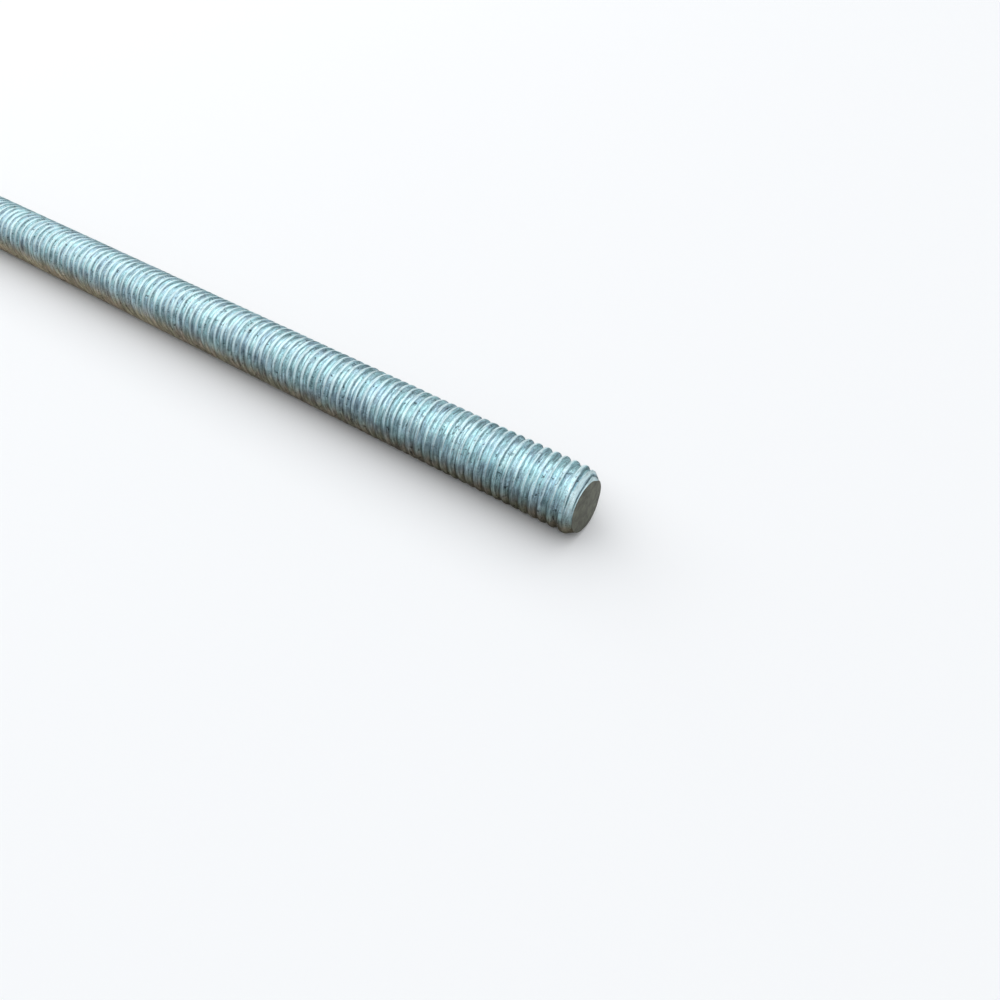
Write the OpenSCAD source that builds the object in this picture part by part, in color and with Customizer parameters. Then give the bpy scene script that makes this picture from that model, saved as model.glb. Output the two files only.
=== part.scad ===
// Threaded rod: a round steel bar with a metric thread rolled along its whole length and a
// chamfer turned on each end. It lies along X, with the centre of its first end face at the
// origin and the other end at x = rod_length. The thread has its true section all along the
// rod, as grooves one pitch apart round the bar.

/* [Bar] */
// Length of the rod over its two end faces
rod_length = 200; // [40:1:1000]
// Diameter over the thread crests
crest_d = 9.85; // [8:0.05:20]

/* [Thread] */
// Distance along the rod from one groove to the next
pitch = 1.5; // [1:0.05:2.5]
// Angle between the two flanks of a groove
flank_angle = 60; // [50:1:65]
// Width of the flat on top of each crest
crest_flat = 0.27; // [0.1:0.01:0.4]
// Radius of the rounded bottom of a groove
root_r = 0.2; // [0.1:0.01:0.28]
// Distance from the middle of the first groove to the end face at x = rod_length
thread_start = 1.35; // [0.9:0.05:2.4]

/* [Ends] */
// How far the chamfer cuts in from the crests, measured across the rod
chamfer_depth = 0.8; // [0.3:0.05:1.2]
// Slope of the chamfer against the rod's axis
chamfer_angle = 45; // [30:1:60]

/* [Hidden] */
$fn = 72;

crest_r = crest_d / 2;
end_face_r = crest_r - chamfer_depth;
chamfer_length = chamfer_depth / tan(chamfer_angle);

// The groove: a V whose two flanks run down to a round bottom that touches both of them.
half_angle = flank_angle / 2;
groove_half_width = (pitch - crest_flat) / 2;
sharp_bottom_r = crest_r - groove_half_width / tan(half_angle);
root_centre_r = sharp_bottom_r + root_r / sin(half_angle);
root_touch_r = root_centre_r - root_r * sin(half_angle);
root_touch_half_width = root_r * cos(half_angle);

// The cutting outline rises this far above the crests, so that it leaves nothing behind.
clear_above = 0.5;
clear_half_width = groove_half_width + clear_above * tan(half_angle);

// Grooves run from the end at x = rod_length to just past the first end face.
groove_count = ceil((rod_length - thread_start + clear_half_width) / pitch);

// Half section of the plain chamfered bar: across is the radius, up is along the rod.
module bar_section() {
    polygon([
        [0, 0],
        [end_face_r, 0],
        [crest_r, chamfer_length],
        [crest_r, rod_length - chamfer_length],
        [end_face_r, rod_length],
        [0, rod_length],
    ]);
}

// Section of one groove, centred on the given distance along the rod.
module groove_section(along) {
    translate([0, along]) {
        polygon([
            [root_touch_r, -root_touch_half_width],
            [crest_r + clear_above, -clear_half_width],
            [crest_r + clear_above, clear_half_width],
            [root_touch_r, root_touch_half_width],
        ]);
        translate([root_centre_r, 0]) circle(r = root_r);
    }
}

// The whole rod, one solid of zinc-plated steel.
module threaded_rod() {
    color([0.66, 0.74, 0.76])
        rotate([0, 90, 0])
            rotate_extrude()
                difference() {
                    bar_section();
                    for (i = [0 : groove_count - 1])
                        groove_section(rod_length - thread_start - i * pitch);
                }
}

threaded_rod();
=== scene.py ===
import math

import bmesh
import bpy
import numpy as np
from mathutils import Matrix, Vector


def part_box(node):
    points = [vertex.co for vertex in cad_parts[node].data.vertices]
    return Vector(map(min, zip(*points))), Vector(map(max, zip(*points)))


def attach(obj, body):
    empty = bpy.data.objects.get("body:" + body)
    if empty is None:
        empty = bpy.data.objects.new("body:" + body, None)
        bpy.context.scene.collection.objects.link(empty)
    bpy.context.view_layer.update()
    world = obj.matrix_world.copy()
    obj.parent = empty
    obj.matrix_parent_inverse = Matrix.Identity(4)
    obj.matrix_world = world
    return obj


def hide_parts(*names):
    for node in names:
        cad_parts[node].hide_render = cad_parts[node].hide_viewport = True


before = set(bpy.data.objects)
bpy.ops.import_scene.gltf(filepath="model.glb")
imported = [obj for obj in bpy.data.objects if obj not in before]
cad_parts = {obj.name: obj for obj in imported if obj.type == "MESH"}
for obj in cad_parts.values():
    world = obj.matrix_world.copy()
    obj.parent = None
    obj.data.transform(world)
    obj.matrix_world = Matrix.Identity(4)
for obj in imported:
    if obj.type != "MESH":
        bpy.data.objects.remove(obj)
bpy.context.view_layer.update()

# The rod: one bar of mild steel, rolled cold between flat dies that press a right-hand
# 60 degree thread into its whole length, then cut off, ground on both ends and plated
# with zinc. It is a single piece, held by nuts. Its sizes here are in millimetres.
MM = 0.001
rod_low, rod_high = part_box("threaded_rod")
rod_length = (rod_high.x - rod_low.x) / MM
inside_box = 0.006
crest_r = min(rod_high.y - rod_low.y, rod_high.z - rod_low.z) / 2 / MM - inside_box
pitch = 1.5
flank_tan = math.tan(math.radians(30))
flank_sin = math.sin(math.radians(30))
flank_cos = math.cos(math.radians(30))
crest_half = 0.23
root_round = 0.47

# A crest passes this distance along the rod, where the bar faces this way round its axis.
crest_at = 199.1
crest_at_angle = math.radians(128.36)

# Places across one turn of the thread, from the middle of a crest. The first five are on the
# crest, from its back edge to its front edge, and the others cross the groove after it.
back_edge = -crest_half
back_land = -0.16
middle_land = 0.06
front_land = 0.16
front_edge = crest_half
groove_places = [0.29, 0.40, 0.55, 0.75, 0.94, 1.08, 1.19]
profile_at = np.array([back_edge, back_land, middle_land, front_land, front_edge] + groove_places)
columns = len(profile_at)
steps_round = 60
spare_turns = 2


def ripple(places, wavelength, seed, waves=28):
    """Smooth random height of about unit size over places in space, with a rough wavelength."""
    draw = np.random.default_rng(seed)
    out = np.zeros(len(places))
    for _ in range(waves):
        way = draw.normal(size=3)
        way /= np.linalg.norm(way)
        rate = 2 * math.pi / (wavelength * draw.uniform(0.7, 1.6))
        out += np.sin(places @ way * rate + draw.uniform(0, 2 * math.pi))
    return out * math.sqrt(2 / waves)


def ease(value, start, end):
    """Goes smoothly from 0 at start to 1 at end."""
    share = np.clip((value - start) / (end - start), 0.0, 1.0)
    return share * share * (3 - 2 * share)


# The thread is wound as a grid: at each step round the bar there is a line of points along it,
# set forward by the lead.
turns = int(rod_length / pitch) + 2 * spare_turns
column_count = turns * columns
turn_of = np.repeat(np.arange(turns), columns)
across_of = np.tile(profile_at, turns)
angle_of = np.arange(steps_round) * 2 * math.pi / steps_round
lead = pitch * (angle_of - crest_at_angle) / (2 * math.pi)
first_crest = crest_at - pitch * (turns - spare_turns)
along = first_crest + lead[:, None] + pitch * turn_of[None, :] + across_of[None, :]
angle = np.repeat(angle_of[:, None], column_count, axis=1)
across = np.repeat(across_of[None, :], steps_round, axis=0)
along, angle, across = along.ravel(), angle.ravel(), across.ravel()
on_bar = np.stack([along, crest_r * np.cos(angle), crest_r * np.sin(angle)], axis=1)

# The section is a V with a round bottom.
from_crest = np.abs((across + pitch / 2) % pitch - pitch / 2)
from_root = pitch / 2 - from_crest
sharp_crest_r = crest_r + crest_half / flank_tan
sharp_root_r = sharp_crest_r - pitch / 2 / flank_tan
root_centre_r = sharp_root_r + root_round / flank_sin
bottom = root_centre_r - np.sqrt(np.clip(root_round**2 - from_root**2, 0, None))
groove = np.where(from_root < root_round * flank_cos, bottom, sharp_crest_r - from_crest / flank_tan)
groove_depth = crest_r - root_centre_r + root_round

# The last groove narrows as it winds out towards the near end, and plain bar follows it. The
# plain bar starts this far past the last crest, at these angles round the bar.
run_out_angles = [0, 38, 80, 128, 195]
run_out_starts = [1.67, 1.27, 0.97, 0.72, 0.17]
run_out_slope = 1.4
plain_bar_below = 0.03
last_turn = turns - spare_turns - 1
turn_here = np.tile(turn_of, steps_round)
past_crest = across + pitch * (turn_here - last_turn)
plain_from = np.interp(np.degrees(angle), run_out_angles, run_out_starts)
plain_bar = crest_r - plain_bar_below - run_out_slope * np.clip(plain_from - past_crest, 0, None)
last_groove = (turn_here == last_turn) & (across > 0)
groove = np.where(last_groove, np.maximum(groove, plain_bar), groove)
full_bar_from = pitch - 1.01 * crest_half
groove = np.where(past_crest > full_bar_from, crest_r, groove)

# The dies press the crests down more in some places than in others, round their edges over and
# leave them slightly crowned.
usual_press = 0.012
long_press = 0.015
short_press = 0.008
most_pressed = 0.05
edge_softness = 0.008
crown = 0.03
pressed = usual_press + long_press * ripple(on_bar, wavelength=2.6, seed=14)
pressed = np.clip(pressed + short_press * ripple(on_bar, wavelength=1.1, seed=15), 0, most_pressed)
crest_top = crest_r - pressed
radius = -edge_softness * np.log(np.exp(-groove / edge_softness) + np.exp(-crest_top / edge_softness))

# Rolled crests wander a little along the bar, and the flanks are not quite even. The last crest
# is drawn out towards the end, fully so once it has wound over the top of the bar.
long_wander = 0.022
short_wander = 0.013
flank_unevenness = 0.007
drawn_out_by = 0.28
near_crest = np.clip(1.4 - from_crest / 0.5, 0, 1)
wander = long_wander * ripple(on_bar, wavelength=4.0, seed=11)
wander = wander + short_wander * ripple(on_bar, wavelength=1.5, seed=12)
along = along + near_crest * wander
drawn_out = ease(past_crest, -0.8, 0) * (1 - ease(past_crest, 0.2, 1.2))
drawn_out = drawn_out * ease(angle, 0, math.radians(110))
along += drawn_out_by * drawn_out
radius += flank_unevenness * ripple(on_bar, wavelength=0.9, seed=16) * (1 - near_crest)
radius -= np.where(from_crest < crest_half + 0.01, crown * (from_crest / crest_half) ** 2, 0)
radius = np.minimum(radius, crest_r)
places = np.stack([along, radius * np.cos(angle), radius * np.sin(angle)], axis=1) * MM

# Faces join each line of points to the next, and the last line to the first, a turn further on.
step, column = np.meshgrid(np.arange(steps_round - 1), np.arange(column_count - 1), indexing="ij")
here = step * column_count + column
beside = here + column_count
quads = np.stack([here, beside, beside + 1, here + 1], axis=-1).reshape(-1, 4)
beside = np.arange(column_count - 1 - columns) + columns
here = (steps_round - 1) * column_count + np.arange(column_count - 1 - columns)
seam = np.stack([here, beside, beside + 1, here + 1], axis=-1)
quads = np.concatenate([quads, seam])
mesh = bpy.data.meshes.new("rolled_thread")
mesh.from_pydata(places.tolist(), [], quads.tolist())

# Painted highlight: a bright line is painted along the front edge of each crest, and a weaker
# one along its back edge. Over the back of the bar they change places. Away from the near end
# the painted lines are broader.
back_side = ease(np.cos(angle - math.radians(20)), 0.25, 0.75)
away_from_near_end = ease(on_bar[:, 0], 188, 150)
broad_middle_highlight = 0.45
broad_back_highlight = 0.4
front_highlight_at = [back_land, middle_land, front_land, front_edge, groove_places[0]]
painted_highlight = (1 - back_side) * np.interp(across, front_highlight_at, [0.0, 0.35, 1.0, 0.8, 0.0])
painted_highlight += (1 - back_side) * broad_middle_highlight * away_from_near_end * (across == middle_land)
back_highlight = np.clip(0.4 + 0.3 * ripple(on_bar, wavelength=3.0, seed=17) + back_side, 0, 1)
painted_highlight += np.interp(across, [back_edge, back_land, middle_land], [1.0, 0.3, 0.0]) * back_highlight
painted_highlight += broad_back_highlight * away_from_near_end * (across == back_land)
crest_places = [back_edge, back_land, middle_land, front_land]
painted_highlight += back_side * np.interp(across, crest_places, [0.0, 0.7, 0.75, 0.0])

# Painted highlight: the flank that rises to the next crest is painted brighter towards it.
rising_flank = groove_places[3:]
painted_highlight += np.interp(across, rising_flank, [0.0, 0.3, 0.45, 0.6])
crest_line = mesh.attributes.new("crest_line", "FLOAT", "POINT")
crest_line.data.foreach_set("value", painted_highlight * (past_crest < pitch / 2))

# The bottom of the groove is marked, for the painted shade put in it on the underside.
bottom_height = 0.09
root_line = mesh.attributes.new("root_line", "FLOAT", "POINT")
root_line.data.foreach_set("value", ease(groove_depth - (crest_r - radius), bottom_height, 0.0))

# Painted shade at the foot of each front flank over the upper half of the bar, darkest in the
# last groove. Over the back of the bar the grooves are made a little darker all across.
last_groove_shade = 0.6
flank_foot_shade = 0.22
far_flank_foot_shade = 0.16
back_side_darkening = 0.2
foot = (across > 0.25) & (across < 0.45)
painted_shade = last_groove_shade * (last_groove & foot) * ease(angle, 3.5, 2.6)
painted_shade = np.maximum(painted_shade, (flank_foot_shade + far_flank_foot_shade * away_from_near_end) * foot * ease(angle, 3.1, 2.4))
painted_shade = np.maximum(painted_shade, back_side_darkening * back_side * (across > 0.1))
painted_shade_line = mesh.attributes.new("painted_shade_line", "FLOAT", "POINT")
painted_shade_line.data.foreach_set("value", painted_shade)

rod = bpy.data.objects.new("rolled_thread", mesh)
bpy.context.scene.collection.objects.link(rod)
bm = bmesh.new()
bm.from_mesh(mesh)

# Both ends are cut off and ground by hand: a little out of square, and not quite flat. The edge
# is ground back to a chamfer, which leaves a thin lip at the face with a notch behind it.
end_face_r = 4.12
edge_unevenness = 0.04
lip_length = 0.15
chamfer_length = 1.25
chamfer_shares = (0.0, 0.12, 0.24, 0.4, 0.6, 1.0)
notch_depth = 0.14
notch_angle = math.radians(85)
notch_set_back = 0.35
notch_bend_width = 0.5
worn_width = 0.65
face_shares = (0.96, 0.8, 0.55, 0.3)
hollow_reach = 0.5
# Painted highlight on the ground chamfer.
chamfer_highlight = 0.75

# At this angle the grinding missed the edge, which is left nearly full.
full_angle = math.radians(303)
full_by = 0.68
full_width = 0.6


def angle_off(turn, middle):
    """How far each angle round the bar lies from a middle one, the short way round."""
    return np.abs((turn - middle + math.pi) % (2 * math.pi) - math.pi)


def finish_end(face_at, outward, lean, lean_angle, worn_angle, worn_by, hollow, hollow_angle):
    """Saws the bar off, grinds the edge back to a chamfer with a thin lip, and closes the cut."""
    normal = Vector((1, -lean * math.cos(lean_angle), -lean * math.sin(lean_angle)))
    normal = normal.normalized() * outward
    for back in [0.0] + [lip_length + chamfer_length * share for share in chamfer_shares]:
        everything = list(bm.verts) + list(bm.edges) + list(bm.faces)
        plane_at = Vector(((face_at - outward * back) * MM, 0, 0))
        cut = bmesh.ops.bisect_plane(bm, geom=everything, plane_co=plane_at, plane_no=normal,
                                     clear_outer=back == 0.0, dist=1e-9)
        if back == 0.0:
            rim = [v for v in cut["geom_cut"] if isinstance(v, bmesh.types.BMVert)]

    centre = Vector((face_at, 0, 0)) * MM
    reach = (lip_length + chamfer_length + 0.3) * MM
    close = [v for v in bm.verts if -(v.co - centre).dot(normal) < reach]
    spot = np.array([v.co for v in close]) / MM
    out_r = np.hypot(spot[:, 1], spot[:, 2])
    turn = np.arctan2(spot[:, 2], spot[:, 1])
    back = -outward * (spot[:, 0] - face_at - lean * out_r * np.cos(turn - lean_angle))
    off_worn = angle_off(turn, worn_angle)
    edge_r = end_face_r + edge_unevenness * ripple(spot, wavelength=3.5, seed=21)
    edge_r -= worn_by * np.exp(-((off_worn / worn_width) ** 2))
    edge_r += full_by * np.exp(-((angle_off(turn, full_angle) / full_width) ** 2))
    shoulder = np.clip((back - lip_length) / chamfer_length, 0, 1)
    ground_r = edge_r + (crest_r - edge_r) * shoulder
    notch_back = 2 * lip_length + notch_set_back * np.exp(-((off_worn / notch_bend_width) ** 2))
    notch = np.clip(1 - np.abs(back - notch_back) / lip_length, 0, 1)
    notch *= 1 - ease(angle_off(turn, notch_angle), math.radians(35), math.radians(85))
    ground_r -= notch_depth * notch
    ground_r = np.where(back > lip_length + chamfer_length, crest_r, ground_r)
    new_r = np.minimum(out_r, ground_r)
    # The notch behind the lip gets painted shade, and the ground chamfer a painted highlight that is
    # weaker in the notch.
    painted_shade_of = bm.verts.layers.float["painted_shade_line"]
    crest_of = bm.verts.layers.float["crest_line"]
    for v, old, new, way, notch_shade in zip(close, out_r, new_r, turn, notch):
        v[painted_shade_of] += notch_shade
        if new < old:
            v[crest_of] = chamfer_highlight - notch_shade
        v.co.x -= lean * (old - new) * math.cos(way - lean_angle) * MM
        v.co.y *= new / old
        v.co.z *= new / old

    rim.sort(key=lambda v: math.atan2(v.co.z, v.co.y))
    faces = []
    outer = rim
    for share in face_shares:
        inner = [bm.verts.new(centre + (v.co - centre) * share) for v in rim]
        for i in range(len(rim)):
            j = (i + 1) % len(rim)
            faces.append(bm.faces.new((outer[i], outer[j], inner[j], inner[i])))
        close += inner
        outer = inner
    middle = bm.verts.new(centre)
    for i in range(len(rim)):
        faces.append(bm.faces.new((outer[i], outer[(i + 1) % len(rim)], middle)))

    for v in close:
        aside = (v.co.y * math.cos(hollow_angle) + v.co.z * math.sin(hollow_angle)) / MM / end_face_r
        depth_in = -(v.co - centre).dot(normal) / MM
        v.co.x -= outward * hollow * aside**2 * max(0.0, 1 - depth_in / hollow_reach) * MM
    return faces


near_lean = 0.0617
rim_spare = 0.15
near_face_at = rod_length - near_lean * (end_face_r + rim_spare) - inside_box
sawn = finish_end(near_face_at, outward=1, lean=near_lean, lean_angle=math.radians(271),
                  worn_angle=math.radians(52), worn_by=0.55, hollow=0.15, hollow_angle=math.radians(150))
far_lean = 0.02
far_face_at = far_lean * crest_r + inside_box
sawn += finish_end(far_face_at, outward=-1, lean=far_lean, lean_angle=math.radians(120),
                   worn_angle=math.radians(200), worn_by=0.2, hollow=0.1, hollow_angle=math.radians(40))
for f in bm.faces:
    f.smooth = True
for f in sawn:
    f.material_index = 1
bmesh.ops.recalc_face_normals(bm, faces=bm.faces)
bm.to_mesh(mesh)
bm.free()
mesh.set_sharp_from_angle(angle=math.radians(38))


class Finish:
    """A material's node tree, with short ways to add and join nodes."""

    def __init__(self, name):
        self.material = bpy.data.materials.new(name)
        self.material.use_nodes = True
        self.nodes = self.material.node_tree.nodes
        self.links = self.material.node_tree.links
        self.shader = self.nodes["Principled BSDF"]
        self.place = self.nodes.new("ShaderNodeTexCoord").outputs["Object"]

    def join(self, value, socket):
        if isinstance(value, bpy.types.NodeSocket):
            self.links.new(value, socket)
        else:
            socket.default_value = value

    def attribute(self, name):
        node = self.nodes.new("ShaderNodeAttribute")
        node.attribute_name = name
        return node.outputs["Fac"]

    def noise(self, scale, detail=3.0, roughness=0.5, place=None):
        node = self.nodes.new("ShaderNodeTexNoise")
        node.inputs["Scale"].default_value = scale
        node.inputs["Detail"].default_value = detail
        node.inputs["Roughness"].default_value = roughness
        self.links.new(place or self.place, node.inputs["Vector"])
        return node.outputs["Fac"]

    def spread(self, value, low, high, to_low=0.0, to_high=1.0, smooth=True):
        node = self.nodes.new("ShaderNodeMapRange")
        node.interpolation_type = "SMOOTHSTEP" if smooth else "LINEAR"
        limits = {"From Min": low, "From Max": high, "To Min": to_low, "To Max": to_high}
        for name, number in limits.items():
            node.inputs[name].default_value = number
        self.join(value, node.inputs["Value"])
        return node.outputs["Result"]

    def math(self, operation, first, second=0.0):
        node = self.nodes.new("ShaderNodeMath")
        node.operation = operation
        self.join(first, node.inputs[0])
        self.join(second, node.inputs[1])
        return node.outputs[0]

    def add(self, first, second):
        return self.math("ADD", first, second)

    def times(self, first, second):
        return self.math("MULTIPLY", first, second)

    def mix(self, share, first, second, kind="MIX"):
        node = self.nodes.new("ShaderNodeMix")
        node.data_type = "RGBA"
        node.blend_type = kind
        self.join(share, node.inputs[0])
        self.join(first, node.inputs[6])
        self.join(second, node.inputs[7])
        return node.outputs[2]

    def shade(self, share, colour, by):
        return self.mix(share, colour, by, "MULTIPLY")

    def bump(self, height, distance):
        node = self.nodes.new("ShaderNodeBump")
        node.inputs["Strength"].default_value = 1.0
        node.inputs["Distance"].default_value = distance
        self.links.new(height, node.inputs["Height"])
        self.links.new(node.outputs["Normal"], self.shader.inputs["Normal"])


def zinc_plate():
    """Zinc plate with a blue passivate: satin, scored along the thread and pitted, with painted crest
    highlights and painted shade and warm reflection below.
    """
    deep_green_blue = (0.49, 0.78, 0.85, 1)
    deep_blue = (0.53, 0.76, 0.88, 1)
    light_green_blue = (0.60, 0.93, 0.98, 1)
    light_blue = (0.64, 0.91, 1.0, 1)
    edge_tint = (0.25, 0.25, 0.24, 1)
    pit_colour = (0.10, 0.15, 0.17, 1)
    # Colour of the painted crest highlights.
    highlight_colour = (0.78, 0.98, 1.0, 1)
    # Colour of the painted shade.
    painted_shade_colour = (0.05, 0.06, 0.06, 1)
    # Tints for the painted shade and warm reflection on the underside, near and far.
    near_shade_tint = (1.10, 0.69, 0.49, 1)
    far_shade_tint = (1.10, 0.64, 0.42, 1)
    # Colour of the painted shade in the groove bottoms.
    slot_shade = (0.38, 0.36, 0.34, 1)
    near_x = 0.19
    far_x = 0.08
    score_drawn_out = 0.11
    bump_height = 0.00011

    made = Finish("zinc_plate")
    made.shader.inputs["Specular Tint"].default_value = edge_tint

    # Where a point lies along the rod, how far it faces up, and its place on the wound thread,
    # squeezed round the bar, so that the scoring is drawn out along the thread.
    apart = made.nodes.new("ShaderNodeSeparateXYZ")
    made.links.new(made.place, apart.inputs[0])
    x, y, z = apart.outputs
    from_axis = made.math("SQRT", made.add(made.times(y, y), made.times(z, z)))
    facing_up = made.math("DIVIDE", z, from_axis)
    turn = made.math("ARCTAN2", y, z)
    wound_x = made.add(x, made.times(turn, pitch * MM / (2 * math.pi)))
    round_bar = made.times(turn, crest_r * MM * score_drawn_out)
    wound = made.nodes.new("ShaderNodeCombineXYZ")
    for value, socket in zip((wound_x, round_bar, from_axis), wound.inputs):
        made.links.new(value, socket)

    # The textures, from the broadest to the finest.
    patch = made.spread(made.noise(150, 2), 0.42, 0.60)
    cloud = made.noise(330, 3, 0.55)
    hue = made.spread(made.noise(420, 2), 0.40, 0.62)
    mottle = made.noise(1500, 3, 0.6)
    large_pit = made.spread(made.noise(1700, 2, 0.6), 0.64, 0.70)
    small_pit = made.spread(made.noise(3600, 3, 0.7), 0.58, 0.66)
    small_pit = made.times(small_pit, made.spread(patch, 0, 1, 0.15, 1.0))
    pit = made.math("MAXIMUM", small_pit, large_pit)
    score = made.noise(4200, 3, 0.6, wound.outputs[0])
    grain = made.noise(6000, 3, 0.7)
    tone = made.add(made.times(cloud, 0.75), made.times(mottle, 0.25))
    speck = made.add(made.times(grain, 0.7), made.times(score, 1.1))

    # The colour of the plate itself, with its flecks and pits.
    deep = made.mix(hue, deep_green_blue, deep_blue)
    light = made.mix(hue, light_green_blue, light_blue)
    colour = made.mix(made.spread(tone, 0.38, 0.62), deep, light)
    colour = made.shade(1.0, colour, made.spread(speck, 0.66, 1.14, 0.50, 1.40, smooth=False))
    colour = made.mix(made.times(pit, 0.8), colour, pit_colour)

    # Painted highlights on the crests, only where the bar faces up, scored like the rest, and painted
    # shade in the corners.
    crest = made.spread(made.attribute("crest_line"), 0.2, 0.95)
    crest = made.times(crest, made.spread(facing_up, 0.05, 0.75, 0.08, 1.0))
    colour = made.mix(made.times(crest, 0.95), colour, highlight_colour)
    colour = made.shade(1.0, colour, made.spread(score, 0.36, 0.64, 0.88, 1.10))
    colour = made.mix(made.times(made.attribute("painted_shade_line"), 0.8), colour, painted_shade_colour)

    # Painted shade and a painted warm reflection on the underside: the near part is darkened the
    # most, and the far part gets the warmest tint. Both get more painted shade down in the grooves.
    height_round = made.add(facing_up, made.spread(tone, 0.3, 0.7, -0.08, 0.08))
    underside_shade_share = made.spread(height_round, 0.78, 0.14)
    colour = made.shade(underside_shade_share, colour, made.spread(x, near_x, far_x, 0.29, 0.49))
    underside_shade = made.add(height_round, made.spread(x, near_x, far_x, 0.0, -0.2))
    underside_shade_colour = made.mix(made.spread(x, near_x, far_x), near_shade_tint, far_shade_tint)
    colour = made.shade(made.spread(underside_shade, 0.40, -0.30), colour, underside_shade_colour)
    # Painted shade in the groove bottoms on the underside.
    slot = made.times(made.attribute("root_line"), made.spread(facing_up, 0.50, 0.0, 0.0, 0.35))
    colour = made.shade(slot, colour, slot_shade)
    made.links.new(colour, made.shader.inputs["Base Color"])

    # Satin metal, rougher in the pits. On the painted crest highlights it is smoother and less metallic,
    # which paints them paler.
    made.links.new(made.spread(crest, 0, 1, 1.0, 0.3, smooth=False), made.shader.inputs["Metallic"])
    satin = made.spread(tone, 0.36, 0.64, 0.40, 0.32)
    satin = made.math("SUBTRACT", satin, made.times(crest, 0.06))
    satin = made.add(satin, made.times(pit, 0.2))
    made.links.new(satin, made.shader.inputs["Roughness"])

    # Fine relief from the grain, the scoring and the pits.
    height = made.add(made.times(grain, 0.5), made.times(mottle, 0.15))
    height = made.add(height, made.times(score, 0.7))
    height = made.math("SUBTRACT", height, made.times(pit, 0.6))
    made.bump(height, bump_height)
    return made.material


def sawn_end():
    """The cut face: dull, dark and matt, with a thin grey bloom."""
    dark_cut = (0.080, 0.082, 0.062, 1)
    grey_bloom = (0.155, 0.158, 0.120, 1)
    bump_height = 0.00004

    made = Finish("sawn_end")
    made.shader.inputs["Metallic"].default_value = 0.6
    made.shader.inputs["Roughness"].default_value = 0.62
    cloud = made.noise(700, 5, 0.65)
    colour = made.mix(made.spread(cloud, 0.35, 0.65), dark_cut, grey_bloom)
    made.links.new(colour, made.shader.inputs["Base Color"])
    made.bump(made.noise(2600, 3, 0.6), bump_height)
    return made.material


mesh.materials.append(zinc_plate())
mesh.materials.append(sawn_end())
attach(rod, "root")
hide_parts("threaded_rod")

# The floor: a plain sheet of pale card, laid flat and much larger than the rod. The rod lies
# on it, level, on the crests of its thread.
floor_half = 1.5
floor_z = rod_low.z
card_colour = (0.92, 0.92, 0.92, 1)
corners = [(-floor_half, -floor_half, floor_z), (floor_half, -floor_half, floor_z),
           (floor_half, floor_half, floor_z), (-floor_half, floor_half, floor_z)]
floor_mesh = bpy.data.meshes.new("floor")
floor_mesh.from_pydata(corners, [], [(0, 1, 2, 3)])
floor = bpy.data.objects.new("floor", floor_mesh)
bpy.context.scene.collection.objects.link(floor)
card = bpy.data.materials.new("pale_card")
card.use_nodes = True
card_shader = card.node_tree.nodes["Principled BSDF"]
card_shader.inputs["Base Color"].default_value = card_colour
card_shader.inputs["Roughness"].default_value = 0.9
floor_mesh.materials.append(card)


# Soft studio light: a broad panel overhead, a smaller one low behind the far end, and a dim
# room round them. The panels are of one plain brightness each.
def soft_panel(name, size_x, size_y, brightness, place, aim):
    """A panel of one plain brightness, turned to face a point."""
    lamp = bpy.data.lights.new(name, "AREA")
    lamp.shape = "RECTANGLE"
    lamp.size = size_x
    lamp.size_y = size_y
    lamp.energy = brightness * math.pi * size_x * size_y
    stand = bpy.data.objects.new(name, lamp)
    bpy.context.scene.collection.objects.link(stand)
    stand.location = place
    stand.rotation_euler = (Vector(aim) - stand.location).to_track_quat("-Z", "Y").to_euler()


soft_panel("overhead_panel", size_x=5.8, size_y=3.9, brightness=1.10,
           place=(-1.0, 0.51, 1.5), aim=(-1.0, 0.51, 0.0))
soft_panel("far_panel", size_x=0.9, size_y=0.4, brightness=1.1,
           place=(-0.6, 0.15, 0.22), aim=(0.17, 0.0, 0.0))

room_colour = (0.88, 0.96, 1.05, 1)
room_strength = 0.25
world = bpy.data.worlds.new("room")
bpy.context.scene.world = world
world.use_nodes = True
room = world.node_tree.nodes["Background"]
room.inputs["Color"].default_value = room_colour
room.inputs["Strength"].default_value = room_strength

# The camera stands close to the near end and looks down on it, as a hand-held one does. It
# has a wide lens, so the rod narrows quickly towards the far end.
camera_place = (0.22456, -0.05906, 0.07464)
look_down = math.radians(49.455)
heading = math.radians(33.536)
camera = bpy.data.cameras.new("camera")
camera.lens = 25.78
camera.sensor_width = 36
camera.clip_start = 0.001
camera_object = bpy.data.objects.new("camera", camera)
bpy.context.scene.collection.objects.link(camera_object)
camera_object.location = camera_place
camera_object.rotation_euler = (math.pi / 2 - look_down, 0, heading)
bpy.context.scene.camera = camera_object

bpy.context.scene.view_settings.view_transform = "Standard"
